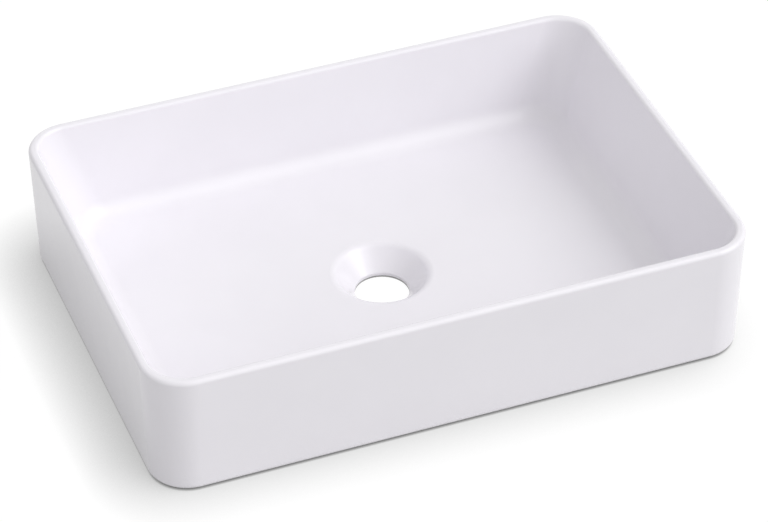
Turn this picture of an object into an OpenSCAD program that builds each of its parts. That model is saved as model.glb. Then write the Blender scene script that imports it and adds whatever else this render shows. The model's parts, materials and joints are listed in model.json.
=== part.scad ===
// Rectangular countertop basin: one fired ceramic piece with a slim rounded rim,
// a flat floor, a funnel that leads to an open drain hole, and a hollow underside
// with a ground foot, standing on four small silicone pads.
// The origin is on the counter, under the middle of the basin. +X runs along the
// long side, +Y to the back and +Z up. All lengths are in millimetres.

/* [Overall size] */
// Length over the rim
basin_l = 500; // [420:1:620]
// Width over the rim
basin_w = 354; // [300:1:440]
// Height from the counter to the top of the rim
basin_h = 110; // [90:1:150]
// Outer corner radius in plan, at the rim
corner_r = 36; // [34:0.5:60]

/* [Outer wall] */
// Lean of the outer wall, inward on its way down, in degrees
outer_tilt = 1.6; // [0.5:0.1:3]
// Rounding along the bottom edge of the outer wall
foot_edge_r = 5; // [2:0.5:6]

/* [Rim] */
// Thickness of the wall at the rim
rim_t = 7.5; // [6.5:0.5:12]
// Rounding on the outer edge of the rim
rim_outer_r = 3.5; // [1.5:0.25:3.75]
// Rounding on the inner edge of the rim
rim_inner_r = 3; // [1:0.25:3]

/* [Bowl] */
// Lean of the bowl's two end walls, inward on their way down, in degrees
end_tilt = 17; // [8:0.5:22]
// Lean of the bowl's two long walls, inward on their way down, in degrees
side_tilt = 7.9; // [3:0.1:12]
// Rounding between the bowl's walls and its floor
bowl_r = 18; // [6:0.5:20]
// Corner radius of the bowl in plan, where its walls would meet the floor without rounding
bowl_corner_r = 34; // [30:1:60]
// Height of the bowl's floor above the counter
floor_z = 23; // [20:0.5:30]
// Thickness of the floor
floor_t = 11; // [8:0.5:12]

/* [Drain] */
// Diameter of the drain hole
drain_d = 45; // [40:0.5:52]
// Height of the drain hole's straight wall, up to the edge of the funnel
drain_wall = 2.5; // [2:0.5:8]
// Rounding between the straight wall and the funnel
drain_edge_r = 1; // [0.5:0.25:2]
// Diameter of the funnel at the floor
funnel_d = 78; // [74:1:100]
// Rounding between the funnel and the floor
funnel_edge_r = 9; // [4:1:16]

/* [Underside] */
// Width of the foot, from the outside of the rim to its inner edge
foot_w = 28; // [26:0.5:30]
// Rounding on the inner edge of the foot
foot_inner_r = 2; // [0.5:0.25:3]
// Lean of the foot's inner side, inward on its way up, in degrees
recess_tilt = 10; // [3:1:15]
// Rounding at the top of the recess, all round
recess_r = 3.5; // [1:0.5:4]
// Wall of the drain boss outside the funnel's edge
boss_wall = 11; // [6:0.5:14]
// How far the boss's ground face stands back from the foot's face
boss_back = 0.5; // [0.25:0.25:3]
// Rounding on the lower edge of the boss
boss_edge_r = 2; // [0.5:0.25:3]

/* [Foot pads] */
// Diameter of a pad
pad_d = 14; // [10:0.5:16]
// Thickness of a pad
pad_t = 2.2; // [1.6:0.1:4]
// How far a pad stands out of the foot
pad_proud = 1; // [0.6:0.1:1.4]
// Gap round a pad in its pocket
pad_clearance = 0.4; // [0.2:0.1:0.8]
// Bevel on the lower edge of a pad
pad_bevel = 0.4; // [0.1:0.1:0.5]

/* [Hidden] */
$fn = 96;
// How far a cutting shape reaches past the surface that it cuts
reach = 2;
// How far the circle of a rounding crosses the two sides that it meets, so that the
// arc ends on them at clear points
bite = 0.003;
glaze = [0.93, 0.92, 0.95];
silicone = [0.72, 0.73, 0.75];

// The corner axes, which the rounded corners turn about
axis_x = basin_l / 2 - corner_r;
axis_y = basin_w / 2 - corner_r;

// Levels above the counter
foot_z = pad_proud;
boss_z = foot_z + boss_back;
under_z = floor_z - floor_t;
funnel_z = boss_z + drain_wall;

// Corners of the wall's section, before they are rounded
// The first value is the distance outward from the corner axis, the second the height
// The rim's outer corner lies a little outside, so that its rounding just reaches corner_r
rim_out = [corner_r - bite + rim_outer_r * (tan(45 + outer_tilt / 2) - 1), basin_h];
rim_end = [0, basin_h];
under_end = [0, under_z];
foot_in = [corner_r - foot_w, foot_z];
recess_top = [foot_in[0] - (under_z - foot_z) * tan(recess_tilt), under_z];
foot_out = [rim_out[0] - (basin_h - foot_z) * tan(outer_tilt), foot_z];

// Steps in the bowl's curves: over a rounding's height, and round a corner in plan
rise_steps = 9;
turn_steps = 16;

// Heights of the bowl's level rings, from the floor up to the top of the rim
ring_heights = [
    for (i = [0:rise_steps]) floor_z - bite + bowl_r * (1 - cos(90 * i / rise_steps)),
    for (i = [rise_steps:-1:0]) basin_h + bite - rim_inner_r * (1 - cos(90 * i / rise_steps)),
    basin_h + reach
];

// Corners of the drain's section, as distance from its axis and height
hole_edge = [drain_d / 2, funnel_z];
funnel_edge = [funnel_d / 2, floor_z];
boss_r = funnel_d / 2 + boss_wall;

// The pads sit midway across the foot's flat face, on a circle round each corner axis
pad_turn_r = (foot_out[0] - foot_edge_r + foot_in[0] + foot_inner_r) / 2;
pad_reach = pad_turn_r * sqrt(1 / 2);

// Unit vector from one point towards another
function towards(a, b) = (b - a) / norm(b - a);

// Angle at b between the lines to a and to c
function opening(a, b, c) = acos(towards(b, a) * towards(b, c));

// The piece of a corner that lies outside an arc of radius r which touches both of
// its sides, and a little more beyond them. Taken away it rounds an outer corner, and
// added it fills an inner one. The corner is at b, with its sides towards a and c.
module corner_piece(a, b, c, r) {
    half = opening(a, b, c) / 2;
    side_a = towards(b, a);
    side_c = towards(b, c);
    middle = b + towards([0, 0], side_a + side_c) * r / sin(half);
    touch_a = b + side_a * r / tan(half);
    touch_c = b + side_c * r / tan(half);
    out_a = towards(middle, touch_a) * reach;
    out_c = towards(middle, touch_c) * reach;
    difference() {
        polygon([middle, touch_a + out_a, b + out_a + out_c, touch_c + out_c]);
        translate(middle) circle(r + bite);
    }
}

// Section through the block that the bowl is hollowed out of, from the corner axis outward
module wall_section() {
    difference() {
        union() {
            polygon([rim_out, rim_end, under_end, recess_top, foot_in, foot_out]);
            corner_piece(under_end, recess_top, foot_in, recess_r);
        }
        corner_piece(foot_out, rim_out, rim_end, rim_outer_r);
        corner_piece(recess_top, foot_in, foot_out, foot_inner_r);
        corner_piece(foot_in, foot_out, rim_out, foot_edge_r);
    }
}

// A straight wall, out along +X from the line between two corner axes
module straight_wall(length) {
    rotate([90, 0, 0])
        linear_extrude(height = length, center = true)
            wall_section();
}

// The block: two long walls, two short walls, four turned corners and the middle
module block() {
    for (turn = [0, 180]) {
        rotate([0, 0, turn])
            translate([axis_x, 0, 0])
                straight_wall(2 * axis_y);
        rotate([0, 0, turn + 90])
            translate([axis_y, 0, 0])
                straight_wall(2 * axis_x);
    }
    for (place = [[1, 1, 0], [-1, 1, 90], [-1, -1, 180], [1, -1, 270]])
        translate([place[0] * axis_x, place[1] * axis_y, 0])
            rotate([0, 0, place[2]])
                rotate_extrude(angle = 90)
                    wall_section();
    translate([-axis_x, -axis_y, under_z])
        cube([2 * axis_x, 2 * axis_y, basin_h - under_z]);
}

// How far in from the outside of the rim a straight inner wall lies at a height
function wall_inset(tilt, z) = rim_t + (basin_h - z) * tan(tilt);

// Half the width of a rounding's circle, at a distance above or below its middle
function half_chord(r, away) = sqrt(max(0, pow(r + bite, 2) - pow(away, 2)));

// How far in the bowl's surface lies there: on the arc at the floor, on the arc over the
// rim's inner edge, or on the straight wall between them
function bowl_inset(tilt, z) =
    let (
        below = floor_z + bowl_r - z,
        above = z - basin_h + rim_inner_r,
        arc_end = tan(45 - tilt / 2)
    )
    below > bowl_r * sin(tilt) ?
        wall_inset(tilt, floor_z) + bowl_r * arc_end - half_chord(bowl_r, below) :
    above > rim_inner_r * sin(tilt) ?
        rim_t - rim_inner_r * arc_end + half_chord(rim_inner_r, above) :
    wall_inset(tilt, z);

// A level ring round the bowl at a height: a rectangle with rounded corners
function bowl_ring(z) =
    let (
        level = min(z, basin_h + bite),
        depth = (basin_h - level) / (basin_h - floor_z),
        wall_r = corner_r - rim_t + depth * (bowl_corner_r - corner_r + rim_t),
        r = wall_r + wall_inset(side_tilt, level) - bowl_inset(side_tilt, level),
        half_x = basin_l / 2 - bowl_inset(end_tilt, level),
        half_y = basin_w / 2 - bowl_inset(side_tilt, level)
    )
    [
        for (place = [[1, 1, 0], [-1, 1, 90], [-1, -1, 180], [1, -1, 270]])
            for (i = [0:turn_steps])
                let (turn = place[2] + 90 * i / turn_steps)
                [place[0] * (half_x - r) + r * cos(turn), place[1] * (half_y - r) + r * sin(turn), z]
    ];

// The space that is hollowed out of the block: the bowl, up past the rounding on the rim
module bowl_space() {
    rings = [for (z = ring_heights) bowl_ring(z)];
    count = len(rings[0]);
    polyhedron(
        points = [for (ring = rings) each ring],
        faces = [
            [for (i = [0:count - 1]) i],
            for (level = [1:len(rings) - 1])
                for (i = [0:count - 1])
                    let (
                        next = (i + 1) % count,
                        here = level * count,
                        under = here - count
                    )
                    each [[here + i, under + next, under + i], [here + i, here + next, under + next]],
            [for (i = [count - 1:-1:0]) (len(rings) - 1) * count + i]
        ]
    );
}

// The boss under the drain, with a ground face for the waste's washer
module drain_boss() {
    top = [boss_r, under_z];
    low = [boss_r, boss_z];
    rotate_extrude()
        difference() {
            union() {
                polygon([[0, boss_z], low, [boss_r, under_z + reach], [0, under_z + reach]]);
                corner_piece([basin_w, under_z], top, low, recess_r);
            }
            corner_piece([0, boss_z], low, top, boss_edge_r);
        }
}

// Everything that the drain takes out of the floor: the hole, the funnel and their edges
module drain_space() {
    slope = towards(hole_edge, funnel_edge);
    above = funnel_edge + slope * reach / slope[1];
    below = [drain_d / 2, boss_z - reach];
    rotate_extrude()
        union() {
            polygon([[0, boss_z - reach], below, hole_edge, above, [0, above[1]]]);
            corner_piece(below, hole_edge, funnel_edge, drain_edge_r);
            corner_piece(hole_edge, funnel_edge, [basin_w, floor_z], funnel_edge_r);
        }
}

// Repeats its children at the four pads
module at_pads() {
    for (side_x = [-1, 1], side_y = [-1, 1])
        translate([side_x * (axis_x + pad_reach), side_y * (axis_y + pad_reach), 0])
            children();
}

module basin_body() {
    color(glaze)
        difference() {
            union() {
                block();
                drain_boss();
            }
            bowl_space();
            drain_space();
            at_pads()
                cylinder(h = pad_t, d = pad_d + 2 * pad_clearance);
        }
}

module foot_pads() {
    color(silicone)
        at_pads()
            rotate_extrude()
                polygon([
                    [0, 0],
                    [pad_d / 2 - pad_bevel, 0],
                    [pad_d / 2, pad_bevel],
                    [pad_d / 2, pad_t],
                    [0, pad_t]
                ]);
}

basin_body();
foot_pads();
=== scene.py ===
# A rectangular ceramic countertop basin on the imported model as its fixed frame: the basin is
# a smooth glazed mesh with unglazed ground faces, the pads are rounded silicone ones, and a
# pale studio and the camera are set up round them.

import json
import math

import bmesh
import bpy
from mathutils import Matrix, Vector


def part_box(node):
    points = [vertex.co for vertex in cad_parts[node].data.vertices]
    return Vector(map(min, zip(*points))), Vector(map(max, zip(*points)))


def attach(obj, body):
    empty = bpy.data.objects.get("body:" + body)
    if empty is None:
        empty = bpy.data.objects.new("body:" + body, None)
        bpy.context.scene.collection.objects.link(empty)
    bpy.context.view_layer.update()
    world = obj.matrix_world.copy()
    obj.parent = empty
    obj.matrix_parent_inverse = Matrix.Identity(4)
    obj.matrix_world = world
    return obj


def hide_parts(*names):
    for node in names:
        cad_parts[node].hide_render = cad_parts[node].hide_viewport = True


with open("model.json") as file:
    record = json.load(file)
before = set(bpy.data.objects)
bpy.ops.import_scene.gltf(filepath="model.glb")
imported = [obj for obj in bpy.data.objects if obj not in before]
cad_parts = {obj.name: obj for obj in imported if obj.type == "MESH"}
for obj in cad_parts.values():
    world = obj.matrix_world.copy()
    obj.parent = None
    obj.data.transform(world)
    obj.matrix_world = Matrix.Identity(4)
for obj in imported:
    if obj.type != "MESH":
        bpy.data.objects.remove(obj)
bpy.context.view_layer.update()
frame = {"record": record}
MM = 0.001

# Sizes read from the frame, in millimetres
body_low, body_high = (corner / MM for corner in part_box("basin_body"))
pads_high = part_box("foot_pads")[1] / MM
mounts = {mount["name"]: mount for mount in frame["record"]["mounts"]}
LENGTH = body_high.x - body_low.x
WIDTH = body_high.y - body_low.y
RIM_Z = body_high.z
FOOT_Z = body_low.z
PAD_TOP_Z = pads_high.z
HOLE_R = mounts["drain_hole"]["dims"]["r_mm"]
BOSS_Z = mounts["drain_seat"]["pos_m"][2] / MM

# Sizes of the section, as in the CAD source, in millimetres and degrees
CORNER_R = 36
OUTER_TILT = 1.6
FOOT_EDGE_R = 5
RIM_T = 7.5
RIM_OUTER_R = 3.5
RIM_INNER_R = 3
END_TILT = 17
SIDE_TILT = 7.9
BOWL_R = 18
BOWL_CORNER_R = 34
FLOOR_Z = 23
FLOOR_T = 11
DRAIN_WALL = 2.5
DRAIN_EDGE_R = 1
FUNNEL_D = 78
FUNNEL_EDGE_R = 9
FOOT_W = 28
FOOT_INNER_R = 2
RECESS_TILT = 10
RECESS_R = 3.5
BOSS_WALL = 11
BOSS_EDGE_R = 2
PAD_D = 14
PAD_CLEARANCE = 0.4
PAD_EDGE_R = 0.4
PAD_CROWN = 0.25
PAD_FLAT = 0.55  # of the pad's radius, flat where it meets the counter

AXIS_X = LENGTH / 2 - CORNER_R
AXIS_Y = WIDTH / 2 - CORNER_R
CEILING_Z = FLOOR_Z - FLOOR_T
FUNNEL_Z = BOSS_Z + DRAIN_WALL
PAD_PLACES = [
    (side_x * (pads_high.x - PAD_D / 2), side_y * (pads_high.y - PAD_D / 2))
    for side_x in (-1, 1)
    for side_y in (-1, 1)
]

# The glaze is wiped off up to this far above a ground face
WIPED = 0.6

# How finely the meshes follow their curves
ARC_STEP = math.radians(6)
ARC_LEAST_STEPS = 4
RISE_STEPS = 16
CORNER_STEPS = 28
FLAT_RINGS = 4
PAD_STEPS = 64
SHARP_ANGLE = math.radians(35)


def tan_deg(angle):
    return math.tan(math.radians(angle))


def arc(middle, start, end):
    """Points from middle + start to middle + end, along the arc round middle."""
    first = math.atan2(start.y, start.x)
    sweep = math.atan2(start.x * end.y - start.y * end.x, start.dot(end))
    steps = max(ARC_LEAST_STEPS, math.ceil(abs(sweep) / ARC_STEP))
    angles = [first + sweep * i / steps for i in range(steps + 1)]
    return [middle + start.length * Vector((math.cos(a), math.sin(a))) for a in angles]


def rounded_path(corners, radii):
    """The points of a section line, with an arc of the given radius at each inner corner."""
    corners = [Vector(corner) for corner in corners]
    path = [corners[0]]
    for a, b, c, r in zip(corners, corners[1:], corners[2:], radii):
        side_a = (a - b).normalized()
        side_c = (c - b).normalized()
        half = side_a.angle(side_c) / 2
        middle = b + (side_a + side_c).normalized() * r / math.sin(half)
        reach = r / math.tan(half)
        path += arc(middle, b + side_a * reach - middle, b + side_c * reach - middle)
    return path + [corners[-1]]


def wall_inset(tilt, z):
    """How far in from the outside of the rim a straight inner wall lies at a height."""
    return RIM_T + (RIM_Z - z) * tan_deg(tilt)


def half_chord(r, away):
    """Half the width of a rounding's circle, at a distance above or below its middle."""
    return math.sqrt(max(0, r**2 - away**2))


def bowl_inset(tilt, z):
    """How far in the bowl's surface lies at a height, with its roundings at the floor and at
    the rim."""
    below = FLOOR_Z + BOWL_R - z
    above = z - RIM_Z + RIM_INNER_R
    arc_end = tan_deg(45 - tilt / 2)
    if below > BOWL_R * math.sin(math.radians(tilt)):
        return wall_inset(tilt, FLOOR_Z) + BOWL_R * arc_end - half_chord(BOWL_R, below)
    if above > RIM_INNER_R * math.sin(math.radians(tilt)):
        return RIM_T - RIM_INNER_R * arc_end + half_chord(RIM_INNER_R, above)
    return wall_inset(tilt, z)


def bowl_ring(z):
    """A level ring round the bowl at a height."""
    depth = (RIM_Z - z) / (RIM_Z - FLOOR_Z)
    wall_r = CORNER_R - RIM_T + depth * (BOWL_CORNER_R - CORNER_R + RIM_T)
    side = bowl_inset(SIDE_TILT, z)
    r = wall_r + wall_inset(SIDE_TILT, z) - side
    return rounded_ring(LENGTH / 2 - bowl_inset(END_TILT, z), WIDTH / 2 - side, r, z)


def bowl_rings():
    """The bowl from the floor's edge up to the top of the rim."""
    rise = [1 - math.cos(math.pi / 2 * i / RISE_STEPS) for i in range(RISE_STEPS + 1)]
    low = [FLOOR_Z + BOWL_R * share for share in rise]
    high = [RIM_Z - RIM_INNER_R * share for share in reversed(rise)]
    return [bowl_ring(z) for z in low + high]


def wall_path():
    """The outer wall's section, from the top of the rim down over the foot to the recess's
    ceiling, as distance outward from the corner axis and height."""
    rim_out = CORNER_R + RIM_OUTER_R * (tan_deg(45 + OUTER_TILT / 2) - 1)
    foot_in = CORNER_R - FOOT_W
    foot_out = rim_out - (RIM_Z - FOOT_Z) * tan_deg(OUTER_TILT)
    recess_top = foot_in - (CEILING_Z - FOOT_Z) * tan_deg(RECESS_TILT)
    corners = [
        (0, RIM_Z),
        (rim_out, RIM_Z),
        (foot_out, FOOT_Z),
        (foot_in, FOOT_Z),
        (recess_top, CEILING_Z),
        (0, CEILING_Z),
    ]
    radii = [RIM_OUTER_R, FOOT_EDGE_R, FOOT_INNER_R, RECESS_R]
    return rounded_path(corners, radii)[1:-1]


def drain_path():
    """The drain's section, from the hole's lower edge up to the floor, as radius and height."""
    corners = [
        (HOLE_R, BOSS_Z),
        (HOLE_R, FUNNEL_Z),
        (FUNNEL_D / 2, FLOOR_Z),
        (AXIS_Y, FLOOR_Z),
    ]
    return rounded_path(corners, [DRAIN_EDGE_R, FUNNEL_EDGE_R])[:-1]


def boss_path():
    """The boss's section, from the recess's ceiling down and in to the hole's lower edge."""
    boss_r = FUNNEL_D / 2 + BOSS_WALL
    corners = [
        (AXIS_Y, CEILING_Z),
        (boss_r, CEILING_Z),
        (boss_r, BOSS_Z),
        (HOLE_R, BOSS_Z),
    ]
    return rounded_path(corners, [RECESS_R, BOSS_EDGE_R])[1:-1]


def rounded_ring(half_x, half_y, r, z):
    """A level rectangle with rounded corners, with as many points along each side as round a
    corner."""
    x, y = half_x - r, half_y - r
    corners = [(x, y), (-x, y), (-x, -y), (x, -y)]
    ring = []
    for i, corner in enumerate(corners):
        for step in range(CORNER_STEPS):
            a = math.pi / 2 * (i + step / CORNER_STEPS)
            ring.append(Vector((corner[0] + r * math.cos(a), corner[1] + r * math.sin(a), z)))
        a = math.pi / 2 * (i + 1)
        side = Vector((r * math.cos(a), r * math.sin(a), z))
        here = side + Vector((*corner, 0))
        there = side + Vector((*corners[(i + 1) % 4], 0))
        ring += [here.lerp(there, step / CORNER_STEPS) for step in range(CORNER_STEPS)]
    return ring


def wall_ring(point):
    """A ring that lies point.x outward from the corner axes, at height point.y."""
    return rounded_ring(AXIS_X + point.x, AXIS_Y + point.x, point.x, point.y)


def round_ring(point):
    """A circle of radius point.x at height point.y, with as many points as a wall ring. It
    starts a sixteenth of a turn on, so that its points lie opposite the wall ring's."""
    count = 8 * CORNER_STEPS
    angles = [math.tau * (i / count + 1 / 16) for i in range(count)]
    return [Vector((point.x * math.cos(a), point.x * math.sin(a), point.y)) for a in angles]


def rings_between(ring_a, ring_b):
    """The rings that spread a flat face evenly from one ring to another."""
    shares = [i / (FLAT_RINGS + 1) for i in range(1, FLAT_RINGS + 1)]
    return [[a.lerp(b, share) for a, b in zip(ring_a, ring_b)] for share in shares]


def new_object(name, mesh, *materials):
    piece = bpy.data.objects.new(name, mesh)
    bpy.context.scene.collection.objects.link(piece)
    for material in materials:
        mesh.materials.append(material)
    return piece


def mesh_of_rings(name, rings):
    """A mesh of quads between successive rings, with the last ring joined to the first."""
    count = len(rings[0])
    points = [point * MM for ring in rings for point in ring]
    quads = []
    for low in range(len(rings)):
        high = (low + 1) % len(rings)
        for i in range(count):
            j = (i + 1) % count
            quads.append((low * count + i, low * count + j, high * count + j, high * count + i))
    mesh = bpy.data.meshes.new(name)
    mesh.from_pydata(points, [], quads)
    return mesh


def face_outward(mesh):
    shape = bmesh.new()
    shape.from_mesh(mesh)
    bmesh.ops.recalc_face_normals(shape, faces=shape.faces)
    shape.to_mesh(mesh)
    shape.free()


def smooth(piece):
    """Smooth shading that keeps flat faces flat and true edges sharp."""
    piece.data.shade_smooth()
    piece.data.set_sharp_from_angle(angle=SHARP_ANGLE)
    weighted = piece.modifiers.new("weighted_normals", "WEIGHTED_NORMAL")
    weighted.keep_sharp = True


def cut(piece, cutter):
    """Cuts one object out of another for good and removes the cutter."""
    modifier = piece.modifiers.new("cut", "BOOLEAN")
    modifier.object = cutter
    modifier.operation = "DIFFERENCE"
    modifier.solver = "EXACT"
    modifier.material_mode = "TRANSFER"
    shown = piece.evaluated_get(bpy.context.evaluated_depsgraph_get())
    mesh = bpy.data.meshes.new_from_object(shown)
    piece.modifiers.remove(modifier)
    piece.data = mesh
    bpy.data.objects.remove(cutter)


def make_material(name):
    material = bpy.data.materials.new(name)
    material.use_nodes = True
    return material, material.node_tree.nodes["Principled BSDF"]


def add_node(tree, kind, **values):
    """A new shader node, with the given inputs set."""
    node = tree.nodes.new(kind)
    for socket, value in values.items():
        node.inputs[socket].default_value = value
    return node


def noise(tree, scale, detail, roughness=0.5):
    """Noise over the object's own coordinates, in metres."""
    place = tree.nodes.new("ShaderNodeTexCoord")
    texture = add_node(
        tree, "ShaderNodeTexNoise", Scale=scale, Detail=detail, Roughness=roughness
    )
    tree.links.new(place.outputs["Object"], texture.inputs["Vector"])
    return texture.outputs["Fac"]


def mapped(tree, value, low, high, from_low=0, from_high=1):
    """Maps a node's output from one range, or from 0 to 1, onto the range low to high."""
    node = tree.nodes.new("ShaderNodeMapRange")
    tree.links.new(value, node.inputs["Value"])
    for socket, end in zip(node.inputs[1:5], (from_low, from_high, low, high)):
        socket.default_value = end
    return node.outputs["Result"]


def vary_color(tree, shader, value, low, high, color_a, color_b):
    """Turns a noise into a colour that goes from color_a at low to color_b at high."""
    ramp = tree.nodes.new("ShaderNodeValToRGB")
    ends = ramp.color_ramp.elements
    ends[0].position, ends[1].position = low, high
    ends[0].color, ends[1].color = (*color_a, 1), (*color_b, 1)
    tree.links.new(value, ramp.inputs["Fac"])
    tree.links.new(ramp.outputs["Color"], shader.inputs["Base Color"])


def add_bump(tree, shader, heights):
    """Chains one bump for each (noise, height in metres)."""
    before = None
    for value, height in heights:
        bump = add_node(tree, "ShaderNodeBump", Strength=1.0, Distance=height)
        tree.links.new(value, bump.inputs["Height"])
        if before is not None:
            tree.links.new(before.outputs["Normal"], bump.inputs["Normal"])
        before = bump
    tree.links.new(before.outputs["Normal"], shader.inputs["Normal"])


def glaze_material():
    """White sanitary glaze: glossy, a little uneven in thickness and very slightly wavy."""
    material, shader = make_material("white_glaze")
    tree = material.node_tree
    pooling = noise(tree, scale=14, detail=3)
    vary_color(tree, shader, pooling, 0.35, 0.65, (0.885, 0.865, 0.91), (0.90, 0.88, 0.925))
    sheen = noise(tree, scale=22, detail=2)
    gloss = mapped(tree, sheen, low=0.14, high=0.2, from_low=0.3, from_high=0.7)
    tree.links.new(gloss, shader.inputs["Roughness"])
    waves = noise(tree, scale=28, detail=1)
    peel = noise(tree, scale=420, detail=2)
    add_bump(tree, shader, [(waves, 0.00012), (peel, 0.000004)])
    return material


def biscuit_material():
    """Fired clay where the glaze was wiped off and the face ground flat."""
    material, shader = make_material("ground_biscuit")
    tree = material.node_tree
    shader.inputs["Roughness"].default_value = 0.85
    grain = noise(tree, scale=900, detail=6, roughness=0.65)
    vary_color(tree, shader, grain, 0.3, 0.7, (0.66, 0.63, 0.58), (0.76, 0.73, 0.68))
    scratches = noise(tree, scale=150, detail=4, roughness=0.6)
    add_bump(tree, shader, [(grain, 0.00006), (scratches, 0.00004)])
    return material


def silicone_material():
    """Milky clear silicone, satin, with faint clouding."""
    material, shader = make_material("milky_silicone")
    tree = material.node_tree
    shader.inputs["Roughness"].default_value = 0.42
    clouds = noise(tree, scale=260, detail=3)
    vary_color(tree, shader, clouds, 0.3, 0.7, (0.68, 0.69, 0.71), (0.76, 0.77, 0.79))
    mould = noise(tree, scale=1500, detail=3)
    add_bump(tree, shader, [(mould, 0.00001)])
    return material


def ground_faces(mesh, biscuit_index):
    """Gives the foot's and the boss's ground faces the unglazed material."""
    boss_r = (FUNNEL_D / 2 + BOSS_WALL) * MM
    for face in mesh.polygons:
        heights = [mesh.vertices[i].co.z / MM for i in face.vertices]
        over_boss = face.center.xy.length < boss_r
        level = BOSS_Z if over_boss else FOOT_Z
        if max(heights) <= level + WIPED:
            face.material_index = biscuit_index


def pad_pocket(x, y, biscuit):
    """The space of one pad's pocket in the foot."""
    radius = PAD_D / 2 + PAD_CLEARANCE
    shape = bmesh.new()
    bmesh.ops.create_cone(
        shape,
        cap_ends=True,
        segments=PAD_STEPS,
        radius1=radius * MM,
        radius2=radius * MM,
        depth=2 * PAD_TOP_Z * MM,
        matrix=Matrix.Translation((x * MM, y * MM, 0)),
    )
    mesh = bpy.data.meshes.new("pad_pocket")
    shape.to_mesh(mesh)
    shape.free()
    return new_object("pad_pocket", mesh, biscuit)


def basin_body(glaze, biscuit):
    """The casting in one closed skin: the drain, the floor, the walls, the hollow underside
    and the boss. The pads' pockets are cut into its foot."""
    drain = [round_ring(point) for point in drain_path()]
    wall = bowl_rings() + [wall_ring(point) for point in wall_path()]
    boss = [round_ring(point) for point in boss_path()]
    floor = rings_between(drain[-1], wall[0])
    ceiling = rings_between(wall[-1], boss[0])
    mesh = mesh_of_rings("glazed_basin", drain + floor + wall + ceiling + boss)
    face_outward(mesh)
    piece = new_object("glazed_basin", mesh, glaze, biscuit)
    ground_faces(mesh, biscuit_index=1)
    for x, y in PAD_PLACES:
        cut(piece, pad_pocket(x, y, biscuit))
    smooth(piece)
    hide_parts("basin_body")
    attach(piece, "root")


def lathe(shape, path, middle, steps):
    """Turns a path of (radius, height) about a vertical line. Its ends lie on the axis."""
    top = shape.verts.new((*middle, path[0].y * MM))
    bottom = shape.verts.new((*middle, path[-1].y * MM))
    rings = []
    for r, z in path[1:-1]:
        ring = []
        for i in range(steps):
            a = math.tau * i / steps
            across = Vector((math.cos(a), math.sin(a))) * r * MM
            ring.append(shape.verts.new((*(middle + across), z * MM)))
        rings.append(ring)
    for i in range(steps):
        j = (i + 1) % steps
        shape.faces.new((top, rings[0][i], rings[0][j]))
        shape.faces.new((bottom, rings[-1][j], rings[-1][i]))
        for high, low in zip(rings, rings[1:]):
            shape.faces.new((high[i], low[i], low[j], high[j]))


def foot_pads(silicone):
    """Four round silicone pads with soft edges, a little crowned where they meet the counter."""
    r = PAD_D / 2
    flat = r * PAD_FLAT
    corners = [(0, PAD_TOP_Z), (r, PAD_TOP_Z), (r, PAD_CROWN), (flat, 0), (0, 0)]
    path = rounded_path(corners, [PAD_EDGE_R, PAD_EDGE_R, flat / 2])
    shape = bmesh.new()
    for x, y in PAD_PLACES:
        lathe(shape, path, Vector((x, y)) * MM, PAD_STEPS)
    bmesh.ops.recalc_face_normals(shape, faces=shape.faces)
    mesh = bpy.data.meshes.new("silicone_pads")
    shape.to_mesh(mesh)
    shape.free()
    piece = new_object("silicone_pads", mesh, silicone)
    smooth(piece)
    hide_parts("foot_pads")
    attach(piece, "root")


# The camera: the point it aims at and its distance from there in metres, its direction and
# roll in degrees, and its lens in millimetres
AIM = Vector((0.0075, 0.0149, 0.0211))
AZIMUTH = -20.9
ELEVATION = 38.06
ROLL = -0.26
DISTANCE = 2.890
LENS = 165.7


def direction(azimuth, elevation):
    """From the object towards a viewer or a lamp. Azimuth 0 is in front, and 90 is to the right."""
    a, e = math.radians(azimuth), math.radians(elevation)
    return Vector((math.sin(a) * math.cos(e), -math.cos(a) * math.cos(e), math.sin(e)))


def add_camera():
    camera = bpy.data.objects.new("camera", bpy.data.cameras.new("camera"))
    bpy.context.scene.collection.objects.link(camera)
    back = direction(AZIMUTH, ELEVATION)
    turn = back.to_track_quat("Z", "Y").to_matrix().to_4x4()
    roll = Matrix.Rotation(math.radians(ROLL), 4, "Z")
    camera.matrix_world = Matrix.Translation(AIM + back * DISTANCE) @ turn @ roll
    camera.data.lens = LENS
    bpy.context.scene.camera = camera


# The studio: the floor's size in metres, the grey that it lights the object with, the white
# that it is seen as in the open and in the object's shadow, and how far in metres and from
# which side the shadow falls. Then the sky, and the lamps with their angles in degrees.
UP = Vector((0, 0, 1))
FLOOR_SIZE = 30
FLOOR_COLOR = 0.59
FLOOR_SEEN = 0.05
FLOOR_GLOW = 0.97
SHADOW_GLOW = 0.33
SHADOW_REACH = 0.052
SHADOW_SIDE = Vector((0.8, -0.3, 1))
CONTACT_REACH = 0.0025
OPENNESS_SAMPLES = 8
WORLD_LIGHT = 0.63
KEY_CORE = {"azimuth": 56, "elevation": 43, "strength": 0.65, "angle": 32}
KEY_HALO = {"azimuth": 56, "elevation": 43, "strength": 0.74, "angle": 60}
FRONT_FILL = {"azimuth": 20, "elevation": 14, "strength": 0.18, "angle": 50}


def math_node(tree, operation, *values):
    """The output of a maths node. Each value is a number or another node's output."""
    node = tree.nodes.new("ShaderNodeMath")
    node.operation = operation
    for socket, value in zip(node.inputs, values):
        if isinstance(value, (int, float)):
            socket.default_value = value
        else:
            tree.links.new(value, socket)
    return node.outputs[0]


def seen_directly(tree):
    """1 for camera, glossy and transmission rays, and 0 for the rays that gather light."""
    rays = tree.nodes.new("ShaderNodeLightPath").outputs
    camera_or_glossy = math_node(tree, "MAXIMUM", rays["Is Camera Ray"], rays["Is Glossy Ray"])
    return math_node(tree, "MAXIMUM", camera_or_glossy, rays["Is Transmission Ray"])


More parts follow.
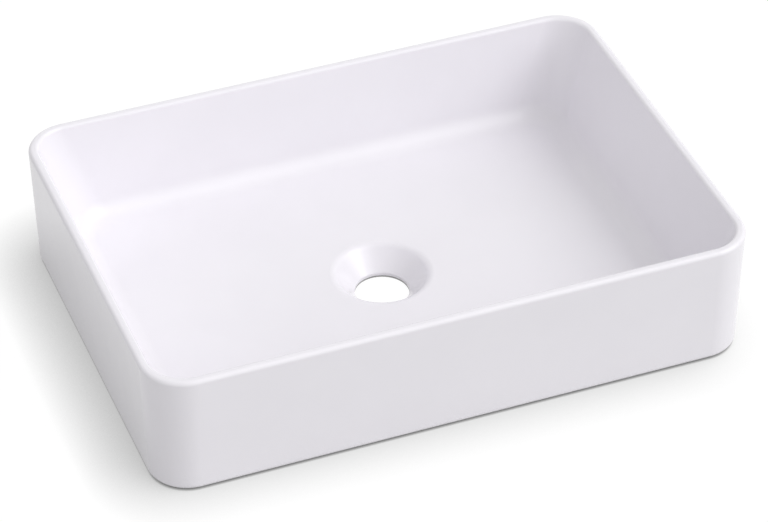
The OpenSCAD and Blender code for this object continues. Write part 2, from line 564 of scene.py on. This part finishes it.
def openness(tree, reach, towards):
    """How open it is from a point towards a side, from 0 to 1, counting only what stands
    within reach."""
    side = tree.nodes.new("ShaderNodeCombineXYZ")
    for socket, share in zip(side.inputs, towards.normalized()):
        socket.default_value = share
    node = add_node(tree, "ShaderNodeAmbientOcclusion", Distance=reach)
    node.samples = OPENNESS_SAMPLES
    tree.links.new(side.outputs["Vector"], node.inputs["Normal"])
    return node.outputs["AO"]


def floor_glow(tree):
    """The floor's white. It is darker where the object stands close on the side that the lamps
    leave in shade, and in the thin gap under the foot, but not under the drain hole."""
    nearby = openness(tree, SHADOW_REACH, SHADOW_SIDE)
    shade = mapped(tree, nearby, SHADOW_GLOW, FLOOR_GLOW)
    around = math_node(tree, "MULTIPLY", shade, openness(tree, CONTACT_REACH, UP))
    place = tree.nodes.new("ShaderNodeNewGeometry")
    away = tree.nodes.new("ShaderNodeVectorMath")
    away.operation = "LENGTH"
    tree.links.new(place.outputs["Position"], away.inputs[0])
    in_hole = math_node(tree, "LESS_THAN", away.outputs["Value"], HOLE_R * MM)
    hole = math_node(tree, "MULTIPLY", in_hole, FLOOR_GLOW)
    return math_node(tree, "MAXIMUM", around, hole)


def add_floor():
    """A pale floor that takes the object's shadow. It lights the object as a grey floor does,
    but a camera or a reflection sees it as white."""
    material, shader = make_material("studio_floor")
    tree = material.node_tree
    shader.inputs["Roughness"].default_value = 1
    shader.inputs["Specular IOR Level"].default_value = 0
    shader.inputs["Emission Color"].default_value = (1, 1, 1, 1)
    seen = seen_directly(tree)
    tree.links.new(mapped(tree, seen, FLOOR_COLOR, FLOOR_SEEN), shader.inputs["Base Color"])
    glow = math_node(tree, "MULTIPLY", floor_glow(tree), seen)
    tree.links.new(glow, shader.inputs["Emission Strength"])
    mesh = bpy.data.meshes.new("studio_floor")
    h = FLOOR_SIZE / 2
    mesh.from_pydata([(-h, -h, 0), (h, -h, 0), (h, h, 0), (-h, h, 0)], [], [(0, 1, 2, 3)])
    new_object("studio_floor", mesh, material)


def add_world():
    """An even sky, seen as plain white."""
    world = bpy.data.worlds.new("studio")
    bpy.context.scene.world = world
    world.use_nodes = True
    tree = world.node_tree
    sky = tree.nodes["Background"]
    sky.inputs["Color"].default_value = (1, 1, 1, 1)
    strength = mapped(tree, seen_directly(tree), WORLD_LIGHT, 1)
    tree.links.new(strength, sky.inputs["Strength"])


def add_sun(name, azimuth, elevation, strength, angle):
    """A far lamp that looks as wide as the given angle from the object."""
    lamp = bpy.data.lights.new(name, "SUN")
    lamp.energy = strength
    lamp.angle = math.radians(angle)
    sun = bpy.data.objects.new(name, lamp)
    bpy.context.scene.collection.objects.link(sun)
    sun.rotation_euler = direction(azimuth, elevation).to_track_quat("Z", "Y").to_euler()


glaze = glaze_material()
biscuit = biscuit_material()
basin_body(glaze, biscuit)
foot_pads(silicone_material())
add_camera()
add_floor()
add_world()
add_sun("softbox_core", **KEY_CORE)
add_sun("softbox_halo", **KEY_HALO)
add_sun("front_fill", **FRONT_FILL)
bpy.context.scene.view_settings.view_transform = "Standard"
